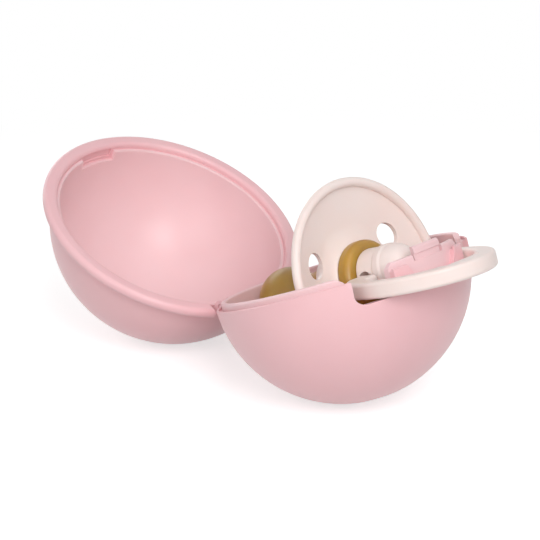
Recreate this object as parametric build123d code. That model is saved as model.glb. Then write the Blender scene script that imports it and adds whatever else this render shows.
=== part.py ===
from build123d import *
import os
from math import atan2, cos, degrees, radians, sin, sqrt

# Ball-shaped pacifier case of two moulded shells on a plastic hinge, open, with one
# round-shield pacifier lying in the base shell and its ring hung out through the rim.
#
# Case frame: origin at the ball's centre, +Z out of the base shell's mouth, +X from
# the hinge to the latch, Y along the hinge. Lengths are millimetres, angles degrees.
# Row frame: the open case standing on both domes on the plane Z = 0.

# ---- ball and shells
BALL_R = 29.0  # outer radius of the closed ball
WALL = 2.6  # wall of the base shell
LID_WALL = 1.9
LIP_R = BALL_R - 1.4  # outer radius of the base's raised lip
LIP_H = 1.35  # height of the lip above the rim
GROOVE_R = BALL_R - 0.6  # outer radius of the groove round the lip
GROOVE_DEPTH = 0.6
RIM_CHAMFER = 0.22  # broken edge round the outside of the rim
FOOT_R = 6.0  # flat on the base's pole, on which the closed ball stands
MOUTH_GAP = 0.12  # closed gap between the lid's bead and the base's rim
LIP_GAP = 0.30  # radial gap between the lip and the lid's bead
LIP_TOP_GAP = 0.30  # gap between the lip's top and the lid's ledge
BEAD_R = BALL_R + 2.3  # outer radius of the rolled bead round the lid's mouth
BEAD_H = 2.5  # height of the bead
BEAD_ROUND = 1.15
BEAD_INNER_ROUND = 1.0

# ---- hinge
HINGE_X = 0.3 - BALL_R
HINGE_Z = -0.72
OPEN_ANGLE = 131.4  # lid's swing from closed to open
PIN_R = 0.85
PIN_FIT = 0.05  # running fit of the pin in the lid's ears
PIN_SEAT = 0.01  # seat of the pin in the base's barrel
PIN_END = 0.15  # how far each end of the pin lies inside its ear
KNUCKLE_R = 1.7
BARREL_HALF = 8.7  # half length of the base's barrel
EAR_GAP = 0.45  # gap along the pin between barrel and ear
EAR_T = 2.4  # length of an ear along the pin
SWING_GAP = 0.35  # gap round the barrel that lets the lid swing
EAR_ROOM = 0.75  # gap round the ears' knuckles, which their webs swing through
BEAD_BREAK = 12.4  # half width of the break in the bead at the hinge

# ---- notches for the pacifier's ring, and the block between them
NOTCH_NEAR = 11.25  # from the middle to each notch's side by the block
NOTCH_FAR = 19.4
NOTCH_DEPTH = 5.65
NOTCH_FAR_R = 2.4  # corner of the notch's floor
NOTCH_NEAR_R = 1.2
LIP_END_R = 1.2  # rounding of the lip's ends beside a notch

# ---- latch
TONGUE_W = 8.5
TONGUE_H = 3.05
TONGUE_T = 0.8
NOSE_BASE = 1.35  # height of the nose's underside above the rim
NOSE_OUT = 0.35  # overhang of the nose
SLOT_W = 0.5  # slot each side of the tongue
THUMB_R = 8.2  # round thumb recess below the tongue
THUMB_Z = 2.5  # height of the recess's middle above the rim
POCKET_W = 10.4  # pocket in the lid that the tongue enters
POCKET_TOP_GAP = 1.0
CATCH_TOP_GAP = 0.3
CATCH_DEPTH = 0.35  # undercut behind the bead that the nose springs into
CATCH_SIDE_GAP = 0.35

# ---- pacifier: place in the case, and its moulded shield
PACIFIER_X = 7.6
PACIFIER_Z = -1.75
PACIFIER_TILT = 3.9  # knob end raised
SHIELD_GAP = 0.44  # gap between the shield's lowest edge and the bowl
SHIELD_FOOT_X = 9.6  # place of that lowest edge in the case
SHIELD_R = sqrt((BALL_R - WALL - SHIELD_GAP) ** 2 - SHIELD_FOOT_X**2) + PACIFIER_Z
RIM_R = 1.1  # radius of the shield's rounded rim
RIM_S = 0.45  # place of the rim along the pacifier's axis
DISH_R = 66.0
SHIELD_T = 1.0
HUB_FRONT_R = 7.9
HUB_FOOT_R = 12.5
HUB_FRONT_S = -1.1
HUB_BACK_R = 7.5
HUB_BACK_S = -8.5
VENT_HALF_W = 2.5  # half of a vent's width, measured towards the rim
VENT_HALF_L = 3.0  # half of its length round the shield
VENT_PITCH_R = 13.72
VENT_SPREAD = 62.0  # angle of the two upper vents from the shield's top
SHIELD_ROLL = 2.2  # the shield lies turned this far about its axis

# ---- pacifier: rubber nipple
NECK_R = 5.2
SEAT_GAP = 0.05  # gap between the rubber and the plastic that grips it
COLLAR_R = 8.05
COLLAR_T = 3.35
COLLAR_ROUND = 1.4
COLLAR_BACK_ROUND = 0.6
THROAT_R = 4.4
THROAT_S = -14.5
BULB_R = 7.4
BULB_S = 3.9 - BALL_R
NIPPLE_WALL = 1.1

# ---- pacifier: knob and its stem
STEM_R = 3.2
STEM_END_S = -8.8
KNOB_R = 5.75
KNOB_WAIST_R = 5.35
KNOB_WAIST_S = 7.0
KNOB_RIDGE_R = 5.65
KNOB_RIDGE_S = 8.2
KNOB_RIDGE_T = 1.6
KNOB_END_S = 14.6
PIVOT_S = 4.7  # the ring's pivot along the knob
PIVOT_HOLE_R = 1.9
PIVOT_HOLE_DROP = 0.5
PIVOT_HOLE_DEPTH = 2.9

# ---- pacifier: ring
STUB_R = 1.1
STUB_PLAY = 0.06  # the stub rests this far above the bottom of its hole
STUB_END_GAP = 0.3
STUB_ROOT = 2.2  # length of the stub inside the ring's band
RING_SLOPE = 3.4  # the ring hangs down by this much
RING_T = 3.75
RING_ROUND = 0.85
RING_HALF_W = 15.5
RING_SIDE_BAND = 3.5
RING_FAR = 29.3  # from the pivot to the ring's far end
RING_FAR_BAND = 6.0
RING_NEAR = 1.55  # from the pivot back to the ring's near end
RING_NEAR_BAND = 5.5
RING_WIDEST = 9.95  # from the pivot to the ring's widest place
RING_OPENING_WIDEST = 12.0  # the same for the edge of its opening
RING_NEAR_FLAT = 8.8  # half of the straight stretch at the near end
RING_KNOB_GAP = 0.4

INNER_R = BALL_R - WALL
LID_INNER_R = BALL_R - LID_WALL
LEDGE_Z = LIP_H + LIP_TOP_GAP
MOUTH_R = LIP_R + LIP_GAP
EAR_START = BARREL_HALF + EAR_GAP
REACH = 2 * BALL_R  # longer than anything that a cutter has to cross


def on_sphere(radius, height):
    """Distance from the axis of a point at this height on a sphere about the origin."""
    return sqrt(radius**2 - height**2)


def arc_on_sphere(radius, start, end):
    """Arc about the origin from one height angle to another, in the section's plane."""
    return CenterArc((0, 0), radius, start, end - start)


def filled(outline):
    """Face inside a closed outline made of lines, arcs and polylines."""
    return make_face([edge for part in outline for edge in part.edges()])


def rounded(section, corners):
    """The section with a fillet at each of the corners (x, y, radius)."""
    for x, y, radius in corners:
        corner = section.vertices().sort_by_distance((x, y, 0))[0]
        section = fillet(corner, radius)
    return section


def turned(section, arc=360.0):
    """Solid of revolution about Z of a section drawn as (radius, height)."""
    return revolve(Plane.XZ * section, axis=Axis.Z, revolution_arc=arc)


def case_box(x, y, z):
    """Box between two limits along each axis of the case frame."""
    low = (x[0], y[0], z[0])
    size = (x[1] - x[0], y[1] - y[0], z[1] - z[0])
    return Pos(*low) * Box(*size, align=(Align.MIN, Align.MIN, Align.MIN))


def hinge_cylinder(radius, start, end):
    """Cylinder about the hinge axis between two places along Y."""
    turn = Rot(-90, 0, 0) * Cylinder(radius, end - start, align=(Align.CENTER, Align.CENTER, Align.MIN))
    return Pos(HINGE_X, start, HINGE_Z) * turn


def both_sides(shape):
    """The shape and its mirror image across the plane through latch and hinge middle."""
    return shape + mirror(shape, about=Plane.XZ)


# ---- base shell
def base_dome():
    lip_angle = degrees(atan2(LIP_H, on_sphere(INNER_R, LIP_H)))
    rim_angle = degrees(atan2(-RIM_CHAMFER, BALL_R))
    outline = [
        arc_on_sphere(BALL_R, -90, rim_angle),
        Polyline(
            (BALL_R * cos(radians(rim_angle)), BALL_R * sin(radians(rim_angle))),
            (BALL_R - RIM_CHAMFER, 0),
            (GROOVE_R, 0),
            (GROOVE_R, -GROOVE_DEPTH),
            (LIP_R, -GROOVE_DEPTH),
            (LIP_R, LIP_H),
            (on_sphere(INNER_R, LIP_H), LIP_H),
        ),
        arc_on_sphere(INNER_R, lip_angle, -90),
        Line((0, -INNER_R), (0, -BALL_R)),
    ]
    section = filled(outline)
    section = rounded(
        section,
        [
            (GROOVE_R, 0, 0.15),
            (LIP_R, LIP_H, 0.5),
            (on_sphere(INNER_R, LIP_H), LIP_H, 0.4),
        ],
    )
    return turned(section)


def foot_cut():
    foot_z = -on_sphere(BALL_R, FOOT_R)
    return case_box((-REACH, REACH), (-REACH, REACH), (foot_z - REACH, foot_z))


def notch_cutters():
    """Two round-cornered notches through the front wall, cut straight along the case."""
    top = LIP_H + 2.0
    near = NOTCH_NEAR
    far = NOTCH_FAR
    section = filled(
        [
            Polyline(
                (near, -NOTCH_DEPTH),
                (far, -NOTCH_DEPTH),
                (far, 0.1),
                (far + LIP_END_R, LIP_H),
                (far + LIP_END_R, top),
                (near - LIP_END_R, top),
                (near - LIP_END_R, LIP_H),
                (near, 0.1),
                close=True,
            )
        ]
    )
    section = rounded(section, [(near, -NOTCH_DEPTH, NOTCH_NEAR_R), (far, -NOTCH_DEPTH, NOTCH_FAR_R)])
    section = rounded(section, [(near, 0.1, 1.0), (far, 0.1, 1.0)])
    cutter = Pos(BALL_R / 4, 0, 0) * extrude(Plane.YZ * section, REACH)
    return both_sides(cutter)


def latch_tongue():
    """Springy tongue standing in the lip, its nose hooked outwards."""
    front = LIP_R - NOSE_OUT
    back = front - TONGUE_T
    nose_top = NOSE_BASE + 1.1
    section = filled(
        [
            Polyline(
                (front + 0.3, -1.0),
                (back + 0.3, -2.0),
                (back, -1.2),
                (back, TONGUE_H),
                (front, TONGUE_H),
                (LIP_R, nose_top),
                (LIP_R, NOSE_BASE),
                (front, NOSE_BASE - 0.1),
                (front, -GROOVE_DEPTH),
                (front + 0.3, -GROOVE_DEPTH),
                close=True,
            )
        ]
    )
    section = rounded(section, [(back, TONGUE_H, 0.25), (front, TONGUE_H, 0.25)])
    section = rounded(section, [(LIP_R, nose_top, 0.3), (LIP_R, NOSE_BASE, 0.12)])
    sector = 2 * degrees(atan2(TONGUE_W / 2, LIP_R))
    return Rot(0, 0, -sector / 2) * turned(section, sector)


def tongue_slot_cut():
    half = TONGUE_W / 2 + SLOT_W
    return case_box((INNER_R - 3, BALL_R + 1), (-half, half), (0, LIP_H + 1))


def thumb_cut():
    """Round recess in the outer wall below the tongue, cut back to the lip's own radius."""
    scoop = Pos(BALL_R / 2, 0, THUMB_Z) * Rot(0, 90, 0) * Cylinder(THUMB_R, REACH)
    below_lip = case_box((0, REACH), (-REACH, REACH), (-BALL_R, 0.5))
    return (scoop & below_lip) - Cylinder(LIP_R, REACH)


def base_shell():
    ears = both_sides(
        hinge_cylinder(KNUCKLE_R + EAR_ROOM, BARREL_HALF + 0.1, EAR_START + EAR_T + 0.3)
    )
    shell = base_dome() - foot_cut() - notch_cutters() - thumb_cut() - tongue_slot_cut() - ears
    shell += latch_tongue()
    shell += hinge_cylinder(KNUCKLE_R, -BARREL_HALF, BARREL_HALF)
    return shell - hinge_cylinder(PIN_R + PIN_SEAT, -REACH, REACH)


# ---- lid shell, drawn closed
def lid_dome():
    bead_top = MOUTH_GAP + BEAD_H
    outer_angle = degrees(atan2(bead_top, on_sphere(BALL_R, bead_top)))
    ledge_angle = degrees(atan2(LEDGE_Z, on_sphere(LID_INNER_R, LEDGE_Z)))
    outline = [
        arc_on_sphere(BALL_R, 90, outer_angle),
        Polyline(
            (on_sphere(BALL_R, bead_top), bead_top),
            (BEAD_R, bead_top),
            (BEAD_R, MOUTH_GAP),
            (MOUTH_R, MOUTH_GAP),
            (MOUTH_R, LEDGE_Z),
            (on_sphere(LID_INNER_R, LEDGE_Z), LEDGE_Z),
        ),
        arc_on_sphere(LID_INNER_R, ledge_angle, 90),
        Line((0, LID_INNER_R), (0, BALL_R)),
    ]
    section = filled(outline)
    section = rounded(
        section,
        [
            (BEAD_R, bead_top, BEAD_ROUND),
            (BEAD_R, MOUTH_GAP, BEAD_ROUND),
            (on_sphere(BALL_R, bead_top), bead_top, 0.6),
            (MOUTH_R, MOUTH_GAP, BEAD_INNER_ROUND),
            (on_sphere(LID_INNER_R, LEDGE_Z), LEDGE_Z, 0.25),
        ],
    )
    return turned(section)


def bead_break_cut():
    """Takes the bead off where the lid folds back against the base."""
    block = case_box((-REACH, -BALL_R / 2), (-BEAD_BREAK, BEAD_BREAK), (-1, MOUTH_GAP + BEAD_H + 1))
    return block - Rot(90, 0, 0) * Sphere(BALL_R)


def latch_pocket_cut():
    """Pocket that the tongue enters, and the undercut that its nose springs into."""
    top = TONGUE_H + POCKET_TOP_GAP
    pocket = case_box((BALL_R / 2, BALL_R), (-POCKET_W / 2, POCKET_W / 2), (-1, top))
    pocket &= Cylinder(MOUTH_R, REACH)
    half = TONGUE_W / 2 + CATCH_SIDE_GAP
    catch_top = TONGUE_H + CATCH_TOP_GAP
    catch = case_box((BALL_R / 2, BALL_R), (-half, half), (NOSE_BASE - 0.2, catch_top))
    catch &= Cylinder(MOUTH_R + CATCH_DEPTH, REACH)
    return pocket + catch


def lid_ears():
    """Two ears that carry the lid on the pin, each a round knuckle running up the dome."""
    rise = 2.6
    side = make_face(
        Polyline(
            (HINGE_X - KNUCKLE_R, HINGE_Z),
            (HINGE_X - KNUCKLE_R, HINGE_Z + 1.3),
            (HINGE_X + 1.0, HINGE_Z + rise),
            (HINGE_X + 2.2, HINGE_Z + rise),
            (HINGE_X + KNUCKLE_R, HINGE_Z),
            close=True,
        ).edges()
    )
    web = Pos(0, EAR_START, 0) * extrude(Plane.XZ * side, -EAR_T)
    ear = web - Sphere(LID_INNER_R) + hinge_cylinder(KNUCKLE_R, EAR_START, EAR_START + EAR_T)
    return both_sides(ear)


def closed_lid():
    shell = lid_dome() - bead_break_cut() - latch_pocket_cut()
    shell -= hinge_cylinder(KNUCKLE_R + SWING_GAP, -EAR_START, EAR_START)
    shell += lid_ears()
    return shell - hinge_cylinder(PIN_R + PIN_FIT, -REACH, REACH)


def lid_shell():
    """The lid swung open about the hinge."""
    hinge = Pos(HINGE_X, 0, HINGE_Z)
    return hinge * Rot(0, -OPEN_ANGLE, 0) * hinge.inverse() * closed_lid()


def hinge_pin():
    half = EAR_START + EAR_T - PIN_END
    pin = hinge_cylinder(PIN_R, -half, half)
    return chamfer(pin.edges().filter_by(GeomType.CIRCLE), 0.2)


# ---- pacifier, drawn about its own axis: Z from the nipple to the knob, -X upwards
def dish_middle():
    """Place on the axis of the dish's centre, which sets the rim flush with the dish's back."""
    reach = DISH_R + SHIELD_T - RIM_R
    return RIM_S + sqrt(reach**2 - (SHIELD_R - RIM_R) ** 2)


def dish_point(radius, behind=0.0):
    """Point of the section on the dish's front face, or a distance behind it."""
    return (radius, dish_middle() - sqrt((DISH_R + behind) ** 2 - radius**2))


def dish_arc(start, end, behind):
    """Arc of the dish between two radii, on the front face or a distance behind it."""
    middle = (start + end) / 2
    return ThreePointArc(*(dish_point(radius, behind) for radius in (start, middle, end)))


def dish_slope(radius):
    """Direction of the dish's front face, outwards along the section."""
    return (sqrt(DISH_R**2 - radius**2) / DISH_R, radius / DISH_R)


def pacifier_shield():
    edge = SHIELD_R - RIM_R
    front = dish_arc(HUB_FOOT_R, edge, 0)
    back = dish_arc(edge, HUB_BACK_R, SHIELD_T)
    flare = Spline(
        (HUB_FRONT_R, HUB_FRONT_S),
        dish_point(HUB_FOOT_R),
        tangents=((0.8, -0.6), dish_slope(HUB_FOOT_R)),
    )
    hub = Polyline(
        dish_point(HUB_BACK_R, SHIELD_T),
        (HUB_BACK_R, HUB_BACK_S),
        (NECK_R + SEAT_GAP, HUB_BACK_S),
        (NECK_R + SEAT_GAP, HUB_FRONT_S),
        (HUB_FRONT_R, HUB_FRONT_S),
    )
    plate = filled([hub, flare, front, Line(front @ 1, back @ 0), back])
    rim = Pos(edge, RIM_S) * Circle(RIM_R)
    shield = turned(plate + rim)
    opening = extrude(Ellipse(VENT_HALF_W, VENT_HALF_L), REACH, both=True)
    vent = Pos(-VENT_PITCH_R, 0, 0) * opening
    for angle in (-VENT_SPREAD, VENT_SPREAD, 180):
        shield -= Rot(0, 0, angle + SHIELD_ROLL) * vent
    return shield


def pacifier_nipple():
    collar_back = HUB_FRONT_S + SEAT_GAP
    collar_front = collar_back + COLLAR_T
    bore = STEM_R + SEAT_GAP
    bulb_in = BULB_R - NIPPLE_WALL
    throat_in = THROAT_R - NIPPLE_WALL
    hub_end = HUB_BACK_S - 0.5
    join = 0.8
    bulb_join = (BULB_R * sin(join), BULB_S + BULB_R * cos(join))
    bulb_join_in = (bulb_in * sin(join), BULB_S + bulb_in * cos(join))
    back_tangent = (cos(join), -sin(join))
    outline = [
        Polyline(
            (bore, hub_end),
            (bore, collar_front),
            (COLLAR_R, collar_front),
            (COLLAR_R, collar_back),
            (NECK_R, collar_back),
            (NECK_R, hub_end),
        ),
        Spline((NECK_R, hub_end), (THROAT_R, THROAT_S), bulb_join, tangents=((0, -1), back_tangent)),
        ThreePointArc(bulb_join, (BULB_R, BULB_S), (0, BULB_S - BULB_R)),
        Line((0, BULB_S - BULB_R), (0, BULB_S - bulb_in)),
        ThreePointArc((0, BULB_S - bulb_in), (bulb_in, BULB_S), bulb_join_in),
        Spline(
            bulb_join_in,
            (throat_in, THROAT_S),
            (bore, hub_end),
            tangents=((-back_tangent[0], -back_tangent[1]), (0, 1)),
        ),
    ]
    section = filled(outline)
    section = rounded(section, [(COLLAR_R, collar_front, COLLAR_ROUND), (bore, collar_front, 0.4)])
    section = rounded(section, [(COLLAR_R, collar_back, COLLAR_BACK_ROUND)])
    return turned(section)


def knob_body():
    rear = HUB_FRONT_S + 2 * SEAT_GAP + COLLAR_T
    ridge_low = KNOB_RIDGE_S - KNOB_RIDGE_T / 2
    ridge_high = KNOB_RIDGE_S + KNOB_RIDGE_T / 2
    dome_start = ridge_high + 0.6
    outline = [
        Polyline(
            (0, STEM_END_S),
            (STEM_R, STEM_END_S),
            (STEM_R, rear),
            (KNOB_R, rear),
            (KNOB_WAIST_R, KNOB_WAIST_S),
            (KNOB_RIDGE_R, ridge_low),
            (KNOB_RIDGE_R, ridge_high),
            (KNOB_WAIST_R, dome_start),
        ),
        Spline((KNOB_WAIST_R, dome_start), (0, KNOB_END_S), tangents=((-0.15, 1), (-1, 0))),
        Line((0, KNOB_END_S), (0, STEM_END_S)),
    ]
    section = filled(outline)
    section = rounded(section, [(STEM_R, STEM_END_S, 0.8), (KNOB_R, rear, 0.4)])
    section = rounded(section, [(KNOB_RIDGE_R, ridge_low, 0.8), (KNOB_RIDGE_R, ridge_high, 0.6)])
    return turned(section)


def pacifier_knob():
    """Knob with a blind hole each side for the ring's stubs."""
    floor = KNOB_R - PIVOT_HOLE_DEPTH
    hole = Cylinder(PIVOT_HOLE_R, REACH, align=(Align.CENTER, Align.CENTER, Align.MIN))
    hole = Pos(PIVOT_HOLE_DROP, floor, PIVOT_S) * Rot(-90, 0, 0) * hole
    return knob_body() - both_sides(hole)


# ---- ring, drawn about its pivot: X away from the knob, Z up out of its flat face
def ring_outline(half_w, far, near, near_flat, widest):
    """Egg outline: half an ellipse far from the knob, a flatter end near it."""
    near_x = -near
    far_arc = EllipticalCenterArc((widest, 0), far - widest, half_w, -90, arc_size=180)
    corner_middle = (widest, near_flat)
    corner = EllipticalCenterArc(corner_middle, widest + near, half_w - near_flat, 90, arc_size=90)
    lower = mirror(corner, about=Plane.XZ)
    flat = Line((near_x, near_flat), (near_x, -near_flat))
    return filled([far_arc, corner, flat, lower])


def ring_band():
    outer = ring_outline(RING_HALF_W, RING_FAR, RING_NEAR, RING_NEAR_FLAT, RING_WIDEST)
    inner = ring_outline(
        RING_HALF_W - RING_SIDE_BAND,
        RING_FAR - RING_FAR_BAND,
        RING_NEAR - RING_NEAR_BAND,
        RING_NEAR_FLAT - 0.5,
        RING_OPENING_WIDEST,
    )
    band = Pos(0, 0, -RING_T / 2) * extrude(outer - inner, RING_T)
    flat_faces = band.faces().filter_by(Axis.Z)
    return fillet(flat_faces.edges(), RING_ROUND)


def stub_drop():
    """How far the stubs' axis lies below the pacifier's axis."""
    return PIVOT_HOLE_DROP + PIVOT_HOLE_R - STUB_R - STUB_PLAY


def pacifier_place():
    """Place of the pacifier in the case."""
    return Location((PACIFIER_X, 0, PACIFIER_Z)) * Rot(0, 90 - PACIFIER_TILT, 0)


def pivot_place():
    """Place of the ring's pivot in the case, the ring sloping down from it."""
    pivot = pacifier_place() * Pos(stub_drop(), 0, PIVOT_S)
    return Location(pivot.position) * Rot(0, RING_SLOPE, 0)


def pacifier_ring():
    """Ring, cut clear of the knob, with a stub each side that enters the knob."""
    to_ring = pivot_place().inverse() * pacifier_place()
    clearance = Cylinder(KNOB_R + RING_KNOB_GAP, REACH)
    band = ring_band() - to_ring * clearance
    inner_end = KNOB_R - PIVOT_HOLE_DEPTH + STUB_END_GAP
    outer_end = KNOB_R + RING_KNOB_GAP + STUB_ROOT
    length = outer_end - inner_end
    stub = Cylinder(STUB_R, length, align=(Align.CENTER, Align.CENTER, Align.MIN))
    stub = Pos(0, inner_end, 0) * Rot(-90, 0, 0) * stub
    return band + both_sides(stub)


def case_parts():
    pacifier = pacifier_place()
    return {
        "base_shell": base_shell(),
        "lid_shell": lid_shell(),
        "hinge_pin": hinge_pin(),
        "pacifier_shield": pacifier * pacifier_shield(),
        "pacifier_nipple": pacifier * pacifier_nipple(),
        "pacifier_knob": pacifier * pacifier_knob(),
        "pacifier_ring": pivot_place() * pacifier_ring(),
    }


def standing_turn():
    """Turn that sets the open case level on its two equal domes."""
    swing = radians(OPEN_ANGLE)
    lid_x = HINGE_X - HINGE_X * cos(swing) + HINGE_Z * sin(swing)
    lid_z = HINGE_Z - HINGE_X * sin(swing) - HINGE_Z * cos(swing)
    return Rot(0, -degrees(atan2(lid_z, -lid_x)), 0)


def main():
    turn = standing_turn()
    parts = {name: turn * shape for name, shape in case_parts().items()}
    boxes = [shape.bounding_box() for shape in parts.values()]
    x_middle = (min(box.min.X for box in boxes) + max(box.max.X for box in boxes)) / 2
    move = Pos(-x_middle, 0, -min(box.min.Z for box in boxes))
    os.makedirs("parts", exist_ok=True)
    for name, shape in parts.items():
        placed = move * shape
        export_step(placed, "parts/" + name + ".step")
    print("row move", move.position)


main()
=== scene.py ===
import math

import bpy
import numpy as np
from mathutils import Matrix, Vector


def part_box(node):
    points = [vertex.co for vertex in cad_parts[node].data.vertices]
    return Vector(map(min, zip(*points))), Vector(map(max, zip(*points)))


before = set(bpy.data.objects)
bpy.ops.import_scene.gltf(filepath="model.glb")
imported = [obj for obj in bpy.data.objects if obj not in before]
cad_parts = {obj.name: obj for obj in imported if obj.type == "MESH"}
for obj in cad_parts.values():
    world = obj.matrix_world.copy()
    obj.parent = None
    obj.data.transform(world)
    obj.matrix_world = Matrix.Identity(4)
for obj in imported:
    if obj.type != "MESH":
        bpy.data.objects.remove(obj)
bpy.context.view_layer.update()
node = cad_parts

# ---- The view: a long lens a good arm's length away, a little above the open case.
# The case is 122 mm long and stands open on both its domes, with its latch towards the right.
VIEW_AZIMUTH = math.radians(-47.10)
VIEW_ELEVATION = math.radians(20.45)
VIEW_DISTANCE = 0.6559
VIEW_LENS = 192.3
SENSOR = 36.0
NEAREST_SEEN = 0.01
FURTHEST_SEEN = 20
look_at = Vector((-0.00067, -0.0005, 0.0246))


def direction(azimuth, elevation):
    """The unit vector towards an azimuth and an elevation, both in radians."""
    level = math.cos(elevation)
    return Vector((level * math.cos(azimuth), level * math.sin(azimuth), math.sin(elevation)))


def aim(made, towards, distance):
    """Puts a camera or a lamp that far from the case and turns it to face the case."""
    made.location = look_at + distance * towards
    made.rotation_euler = towards.to_track_quat("Z", "Y").to_euler()
    bpy.context.scene.collection.objects.link(made)


camera = bpy.data.objects.new("camera", bpy.data.cameras.new("camera"))
camera.data.sensor_fit = "HORIZONTAL"
camera.data.sensor_width = SENSOR
camera.data.lens = VIEW_LENS
camera.data.clip_start = NEAREST_SEEN
camera.data.clip_end = FURTHEST_SEEN
aim(camera, direction(VIEW_AZIMUTH, VIEW_ELEVATION), VIEW_DISTANCE)
bpy.context.scene.camera = camera


# ---- The base: the lower half of the case, with its lip, latch tongue and hinge barrel.
# It is injection moulded polypropylene, its pink mixed through the plastic. The outside has the
# fine spark-eroded skin of the mould's cavity. The inside is painted a shade paler, as painted
# light: it offsets the deeper pink that light bouncing round the hollow gives it.
MM = 0.001
BALL_R = 0.029
INSIDE_R = 0.0278  # whatever lies nearer to a ball's middle is its inside
INSIDE_EDGE = 0.1 * MM  # the change from outside to inside colour is this far to each side
SHELL_PINK = "#F2C3C7"
SHELL_PINK_DEEP = "#EFBEC3"
# the inside colours are painted paler: painted light, offsetting the deeper pink that light bounced
# round the hollow gives it
INSIDE_PINK_PAINTED_PALER = "#F3D0D3"
INSIDE_PINK_DEEP_PAINTED_PALER = "#F0CACD"
SHELL_DRIFT_MM = 22.0
SHELL_SKIN_MM = 0.35  # the real grain is about 0.1 mm, too fine to show
SHELL_SKIN_DEPTH_MM = 0.006
SHELL_ROUGHNESS = 0.37
SHELL_SCATTER = 0.12
POLYPROPYLENE_IOR = 1.49
POLYPROPYLENE_REACH = (1.6, 1.0, 0.9)  # mm that red, green and blue light travel inside it
GLOSS_DRIFT = 0.03


def linear(colour):
    """A hex sRGB colour as linear RGBA."""
    parts = [int(colour[i : i + 2], 16) / 255 for i in (1, 3, 5)]
    return [c / 12.92 if c <= 0.04045 else ((c + 0.055) / 1.055) ** 2.4 for c in parts] + [1.0]


def add(tree, kind, links=(), **settings):
    """Adds a node to a tree. A setting is an attribute of the node, or else an input by name.
    links are (this node's input, other node, its output)."""
    made = tree.nodes.new(kind)
    for key, value in settings.items():
        if hasattr(made, key):
            setattr(made, key, value)
        else:
            made.inputs[key.replace("_", " ")].default_value = value
    for here, other, there in links:
        tree.links.new(other.outputs[there], made.inputs[here])
    return made


def two_tone(tree, drift, deep_colour, colour, spread=(0.35, 0.65)):
    """A slow drift between two close colours. spread is where on the noise it starts and ends."""
    tint = add(tree, "ShaderNodeValToRGB", [("Fac", drift, "Fac")])
    for element, position, tone in zip(tint.color_ramp.elements, spread, (deep_colour, colour)):
        element.position = position
        element.color = linear(tone)
    return tint


def moulded_skin(name, drift_mm, skin_mm, depth_mm, roughness, scatter):
    """Moulded plastic before it gets its colour: a gloss that drifts slowly, a fine even skin
    that softens it, and light that goes a little way in. Gives the material and the drift."""
    material = bpy.data.materials.new(name)
    material.use_nodes = True
    tree = material.node_tree
    shader = tree.nodes["Principled BSDF"]
    place = add(tree, "ShaderNodeTexCoord")
    drift = add(
        tree,
        "ShaderNodeTexNoise",
        [("Vector", place, "Object")],
        Scale=1 / (drift_mm * MM),
        Detail=2.0,
        Roughness=0.5,
    )
    gloss = add(
        tree,
        "ShaderNodeMapRange",
        [("Value", drift, "Fac")],
        From_Min=0.3,
        From_Max=0.7,
        To_Min=roughness - GLOSS_DRIFT,
        To_Max=roughness + GLOSS_DRIFT,
    )
    tree.links.new(gloss.outputs["Result"], shader.inputs["Roughness"])
    skin = add(
        tree,
        "ShaderNodeTexNoise",
        [("Vector", place, "Object")],
        Scale=1 / (skin_mm * MM),
        Detail=1.0,
    )
    bump = add(tree, "ShaderNodeBump", [("Height", skin, "Fac")], Strength=1.0, Distance=depth_mm * MM)
    tree.links.new(bump.outputs["Normal"], shader.inputs["Normal"])
    shader.inputs["IOR"].default_value = POLYPROPYLENE_IOR
    shader.inputs["Subsurface Weight"].default_value = scatter
    shader.inputs["Subsurface Scale"].default_value = MM
    shader.inputs["Subsurface Radius"].default_value = POLYPROPYLENE_REACH
    return material, drift


def shell_plastic(name, ball_middle):
    """The shells' pink, painted a shade paler inside as painted light that offsets the deeper pink of
    light bounced round the hollow. A point is inside where its distance from the ball's
    middle is under INSIDE_R."""
    material, drift = moulded_skin(
        name, SHELL_DRIFT_MM, SHELL_SKIN_MM, SHELL_SKIN_DEPTH_MM, SHELL_ROUGHNESS, SHELL_SCATTER
    )
    tree = material.node_tree
    outside = two_tone(tree, drift, SHELL_PINK_DEEP, SHELL_PINK)
    # painted light: the inside tones are painted paler to offset the hollow's bounced light
    inside = two_tone(tree, drift, INSIDE_PINK_DEEP_PAINTED_PALER, INSIDE_PINK_PAINTED_PALER)
    place = add(tree, "ShaderNodeTexCoord")
    reach = add(tree, "ShaderNodeVectorMath", [(0, place, "Object")], operation="DISTANCE")
    reach.inputs[1].default_value = ball_middle
    within = add(
        tree,
        "ShaderNodeMapRange",
        [("Value", reach, "Value")],
        From_Min=INSIDE_R - INSIDE_EDGE,
        From_Max=INSIDE_R + INSIDE_EDGE,
        To_Min=1.0,
        To_Max=0.0,
    )
    # A Mix node's two colours are its inputs 6 and 7, and the mixed colour is its output 2.
    pink = add(
        tree,
        "ShaderNodeMix",
        [("Factor", within, "Result"), (6, outside, "Color"), (7, inside, "Color")],
        data_type="RGBA",
    )
    tree.links.new(pink.outputs[2], tree.nodes["Principled BSDF"].inputs["Base Color"])
    return material


def dress(name, material):
    """Gives a CAD node its material."""
    node[name].data.materials.clear()
    node[name].data.materials.append(material)


base_low, base_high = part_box("base_shell")
base_middle = (base_high[0] - BALL_R, 0.0, base_low[2] + BALL_R)
base_plastic = shell_plastic("moulded_pink_polypropylene_base", base_middle)
dress("base_shell", base_plastic)


# ---- The lid: the upper half of the case, with the rolled bead round its mouth and two hinge
# ears. It is moulded from the same pink polypropylene, and hangs on the hinge pin.
lid_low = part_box("lid_shell")[0]
lid_middle = (lid_low[0] + BALL_R, 0.0, lid_low[2] + BALL_R)
dress("lid_shell", shell_plastic("moulded_pink_polypropylene_lid", lid_middle))


# ---- The hinge pin: a thin rod of the shells' own plastic. It is pressed into the base's barrel,
# and the lid's ears turn on its two ends.
dress("hinge_pin", base_plastic)


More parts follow.
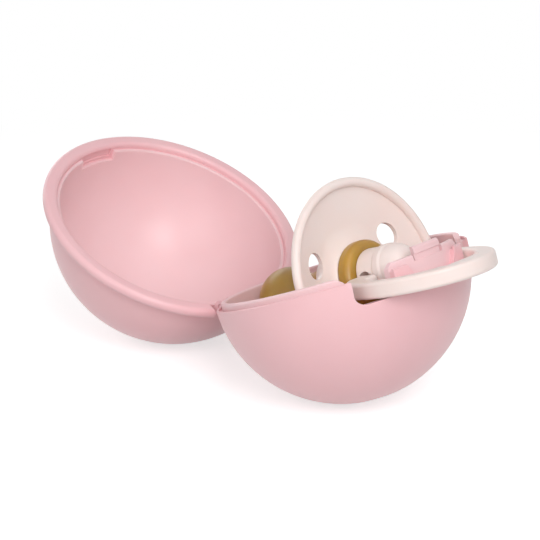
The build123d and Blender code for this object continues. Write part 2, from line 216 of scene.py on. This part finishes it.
# ---- The pacifier's shield, knob and ring: a harder, paler polypropylene.
# Their moulds are polished finer than the case's, so their skin is finer and shallower.
BLUSH = "#F6E7E2"
BLUSH_DEEP = "#F4E2DC"
BLUSH_DRIFT_MM = 18.0
BLUSH_SKIN_MM = 0.3  # drawn coarser than the real one, as on the shells
BLUSH_SKIN_DEPTH_MM = 0.004
BLUSH_ROUGHNESS = 0.38
BLUSH_SCATTER = 0.15

pacifier_plastic, drift = moulded_skin(
    "moulded_blush_polypropylene",
    BLUSH_DRIFT_MM,
    BLUSH_SKIN_MM,
    BLUSH_SKIN_DEPTH_MM,
    BLUSH_ROUGHNESS,
    BLUSH_SCATTER,
)
tree = pacifier_plastic.node_tree
tint = two_tone(tree, drift, BLUSH_DEEP, BLUSH)
tree.links.new(tint.outputs["Color"], tree.nodes["Principled BSDF"].inputs["Base Color"])
for name in ("pacifier_shield", "pacifier_knob", "pacifier_ring"):
    dress(name, pacifier_plastic)


# ---- The nipple: natural rubber latex, dipped on a form in thin coats. It is amber and slightly
# clear, cloudy where the coats vary, and smooth. Its collar is gripped between shield and knob.
LATEX = "#B78F36"
LATEX_DEEP = "#A57D2A"
LATEX_CLOUD_MM = 6.0
LATEX_ROUGHNESS = 0.33
LATEX_IOR = 1.52
LATEX_SCATTER = 0.7
LATEX_DEPTH_MM = 2.5
LATEX_REACH = (2.2, 1.5, 0.6)  # red goes further in than blue, which makes it amber

rubber = bpy.data.materials.new("dipped_natural_rubber")
rubber.use_nodes = True
tree = rubber.node_tree
shader = tree.nodes["Principled BSDF"]
place = add(tree, "ShaderNodeTexCoord")
cloud = add(
    tree,
    "ShaderNodeTexNoise",
    [("Vector", place, "Object")],
    Scale=1 / (LATEX_CLOUD_MM * MM),
    Detail=3.0,
)
tint = two_tone(tree, cloud, LATEX_DEEP, LATEX, spread=(0.3, 0.7))
tree.links.new(tint.outputs["Color"], shader.inputs["Base Color"])
shader.inputs["Roughness"].default_value = LATEX_ROUGHNESS
shader.inputs["IOR"].default_value = LATEX_IOR
shader.inputs["Subsurface Weight"].default_value = LATEX_SCATTER
shader.inputs["Subsurface Scale"].default_value = LATEX_DEPTH_MM * MM
shader.inputs["Subsurface Radius"].default_value = LATEX_REACH
dress("pacifier_nipple", rubber)


# ---- The floor: a plain white table top. To the camera it glows a little as well as being lit,
# so that it is white away from the case and only the case's own soft shadow shows on it.
PAPER = "#DCDCDC"
PAPER_ROUGHNESS = 0.9
FLOOR_HALF = 3.0
FLOOR_GLOW = 0.62
FADE_START = 0.09
FADE_END = 0.20


def looked_at(tree):
    """A node that is 1 on camera, glossy and transmission rays and 0 on diffuse ones, so that
    the eye and the gloss see white and no more light falls on the case."""
    path = add(tree, "ShaderNodeLightPath")
    mirrored = add(
        tree,
        "ShaderNodeMath",
        [(0, path, "Is Glossy Ray"), (1, path, "Is Transmission Ray")],
        operation="MAXIMUM",
    )
    return add(
        tree, "ShaderNodeMath", [(0, path, "Is Camera Ray"), (1, mirrored, "Value")], operation="MAXIMUM"
    )


corners = np.array([(-1, -1, 0), (1, -1, 0), (1, 1, 0), (-1, 1, 0)], float) * FLOOR_HALF
floor_mesh = bpy.data.meshes.new("floor")
floor_mesh.from_pydata(corners.tolist(), [], [(0, 1, 2, 3)])
floor = bpy.data.objects.new("floor", floor_mesh)
bpy.context.scene.collection.objects.link(floor)
paper = bpy.data.materials.new("white_table_top")
paper.use_nodes = True
tree = paper.node_tree
shader = tree.nodes["Principled BSDF"]
shader.inputs["Base Color"].default_value = linear(PAPER)
shader.inputs["Roughness"].default_value = PAPER_ROUGHNESS
shader.inputs["Specular IOR Level"].default_value = 0.0
place = add(tree, "ShaderNodeTexCoord")
reach = add(tree, "ShaderNodeVectorMath", [("Vector", place, "Object")], operation="LENGTH")
fade = add(
    tree,
    "ShaderNodeMapRange",
    [("Value", reach, "Value")],
    interpolation_type="SMOOTHSTEP",
    From_Min=FADE_START,
    From_Max=FADE_END,
)
seen = looked_at(tree)
glow = add(tree, "ShaderNodeEmission", Color=(1, 1, 1, 1), Strength=FLOOR_GLOW)
dark = add(tree, "ShaderNodeEmission", Color=(0, 0, 0, 1), Strength=0.0)
extra = add(
    tree, "ShaderNodeMixShader", [("Fac", seen, "Value"), (1, dark, "Emission"), (2, glow, "Emission")]
)
near = add(tree, "ShaderNodeAddShader", [(0, shader, "BSDF"), (1, extra, "Shader")])
share = add(tree, "ShaderNodeMath", [(0, fade, "Result"), (1, seen, "Value")], operation="MULTIPLY")
white = add(tree, "ShaderNodeEmission", Color=(1, 1, 1, 1), Strength=1.0)
surface = add(
    tree, "ShaderNodeMixShader", [("Fac", share, "Value"), (1, near, "Shader"), (2, white, "Emission")]
)
tree.links.new(surface.outputs["Shader"], tree.nodes["Material Output"].inputs["Surface"])
floor_mesh.materials.append(paper)


# ---- The light: a soft key lamp in front of the latch and well above it, a lower one along the
# case's near side, broad ones overhead and behind the lid, and an even pale room round them all.
LAMP_DISTANCE = 0.9
ROOM_STRENGTH = 0.33


def soft_lamp(name, azimuth, elevation, size, power):
    """A square area lamp that faces the case, from an azimuth and an elevation in degrees."""
    lamp = bpy.data.lights.new(name, "AREA")
    lamp.shape = "SQUARE"
    lamp.size = size
    lamp.energy = power
    towards = direction(math.radians(azimuth), math.radians(elevation))
    aim(bpy.data.objects.new(name, lamp), towards, LAMP_DISTANCE)


soft_lamp("key_lamp", azimuth=-32, elevation=35, size=0.4, power=3.45)
soft_lamp("side_lamp", azimuth=-80, elevation=24, size=0.5, power=1.6)
soft_lamp("top_lamp", azimuth=-16, elevation=64, size=0.6, power=1.3)
soft_lamp("back_lamp", azimuth=165, elevation=14, size=0.6, power=1.6)

world = bpy.data.worlds.new("pale_room")
bpy.context.scene.world = world
world.use_nodes = True
tree = world.node_tree
room = tree.nodes["Background"]
room.inputs["Color"].default_value = (1, 1, 1, 1)
room.inputs["Strength"].default_value = ROOM_STRENGTH
backdrop = add(tree, "ShaderNodeBackground", Color=(1, 1, 1, 1), Strength=1.0)
surroundings = add(
    tree,
    "ShaderNodeMixShader",
    [("Fac", looked_at(tree), "Value"), (1, room, "Background"), (2, backdrop, "Background")],
)
tree.links.new(surroundings.outputs["Shader"], tree.nodes["World Output"].inputs["Surface"])
bpy.context.scene.view_settings.view_transform = "Standard"
